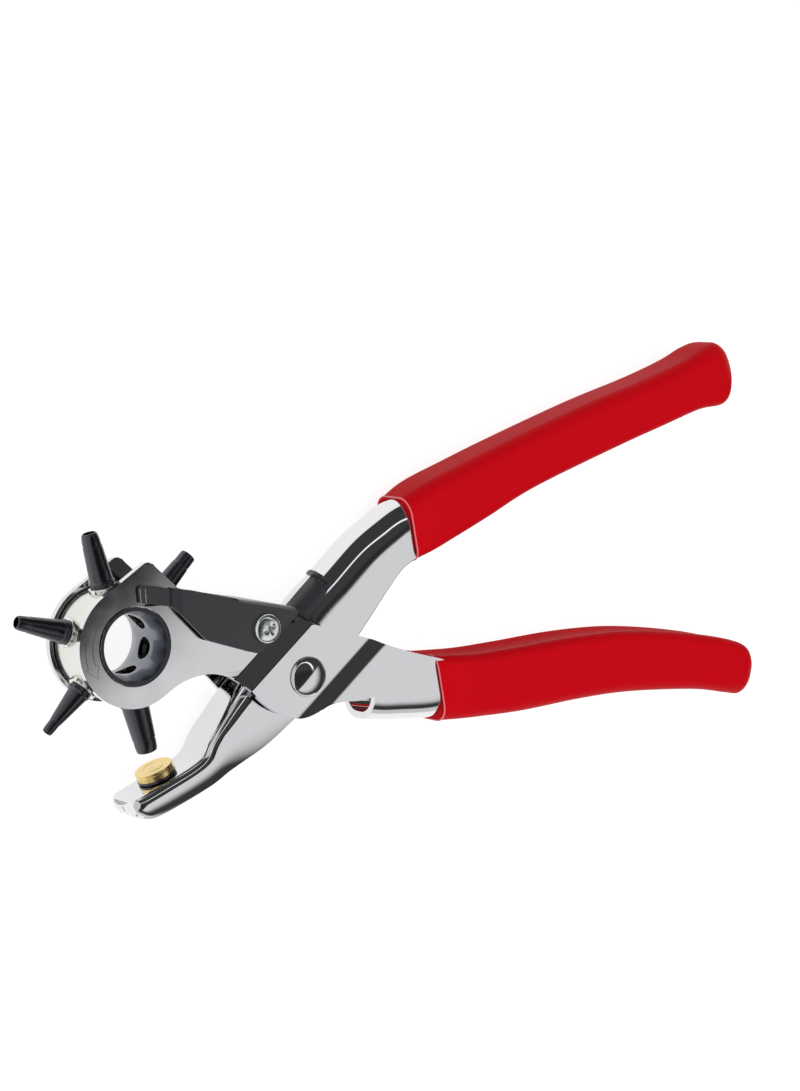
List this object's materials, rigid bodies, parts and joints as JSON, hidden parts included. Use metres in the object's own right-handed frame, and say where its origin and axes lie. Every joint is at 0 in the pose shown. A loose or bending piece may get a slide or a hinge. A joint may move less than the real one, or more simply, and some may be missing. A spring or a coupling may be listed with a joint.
{
  "type": "rotary hole punch",
  "caption": "Revolving leather hole punch plier: turret of punch tubes, anvil jaw on a pivoted arm, dipped red grips, opened by a spring.",
  "frame": {"origin": "bottom centre of the whole tool's box, the tool lying on its side", "axes": "+X from the turret to the handle ends, +Y from the lower handle to the upper handle, +Z across the tool along the pivot rivet"},
  "size_m": [0.2262, 0.1134, 0.0246],
  "materials": {
    "chrome_plate": "bright chrome plate on stamped steel sheet",
    "chrome_rivet": "polished domed rivet head",
    "nickel_drum": "turned, satin nickel",
    "plain_steel": "plain turned steel",
    "spring_steel": "oiled spring wire",
    "zinc": "bright zinc plate",
    "black_tube_steel": "black oxide, satin",
    "black_paint": "black paint, satin",
    "brass": "turned brass, fine face marks",
    "red_grip": "dipped soft vinyl, glossy"
  },
  "bodies": {
    "frame": {"punch_frame": "chrome_plate", "lower_grip": "red_grip", "pivot_rivet": "chrome_rivet", "pivot_bush": "plain_steel", "pivot_washer_near": "plain_steel", "pivot_washer_far": "plain_steel", "return_spring": "spring_steel", "index_bracket": "black_paint", "bracket_screw": "zinc", "bracket_nut": "zinc", "bracket_sleeve": "plain_steel"},
    "arm": {"anvil_arm": "chrome_plate", "upper_grip": "red_grip", "brass_anvil": "brass", "anvil_washer": "black_tube_steel", "latch_pin": "plain_steel"},
    "turret": {"turret_drum": "nickel_drum", "punch_tube_2_0": "black_tube_steel", "punch_tube_2_5": "black_tube_steel", "punch_tube_3_0": "black_tube_steel", "punch_tube_3_5": "black_tube_steel", "punch_tube_4_0": "black_tube_steel", "punch_tube_4_5": "black_tube_steel"},
    "latch": {"handle_latch": "black_paint"},
    "index": {"index_spring": "black_paint"}
  },
  "joints": [
    {"name": "jaw_hinge", "type": "hinge", "parent": "frame", "child": "arm", "pos_m": [-0.03711, -0.02495, 0.0121], "axis": [0, 0, 1], "range_deg": [-5.5, 0], "stiffness_Nm_per_rad": 1.2, "springref_deg": 17.19},
    {"name": "turret_spin", "type": "hinge", "parent": "frame", "child": "turret", "pos_m": [-0.08511, -0.01425, 0.0121], "axis": [0, 0, 1], "continuous": true},
    {"name": "latch_tilt", "type": "hinge", "parent": "arm", "child": "latch", "pos_m": [-0.03291, -0.01535, 0.02], "axis": [0, 0, 1], "range_deg": [0, 6]},
    {"name": "index_flex", "type": "hinge", "parent": "frame", "child": "index", "pos_m": [-0.07311, -0.00295, 0.02138], "axis": [0, 1, 0], "range_deg": [0, 5], "stiffness_Nm_per_rad": 0.005, "springref_deg": -11.46}
  ]
}
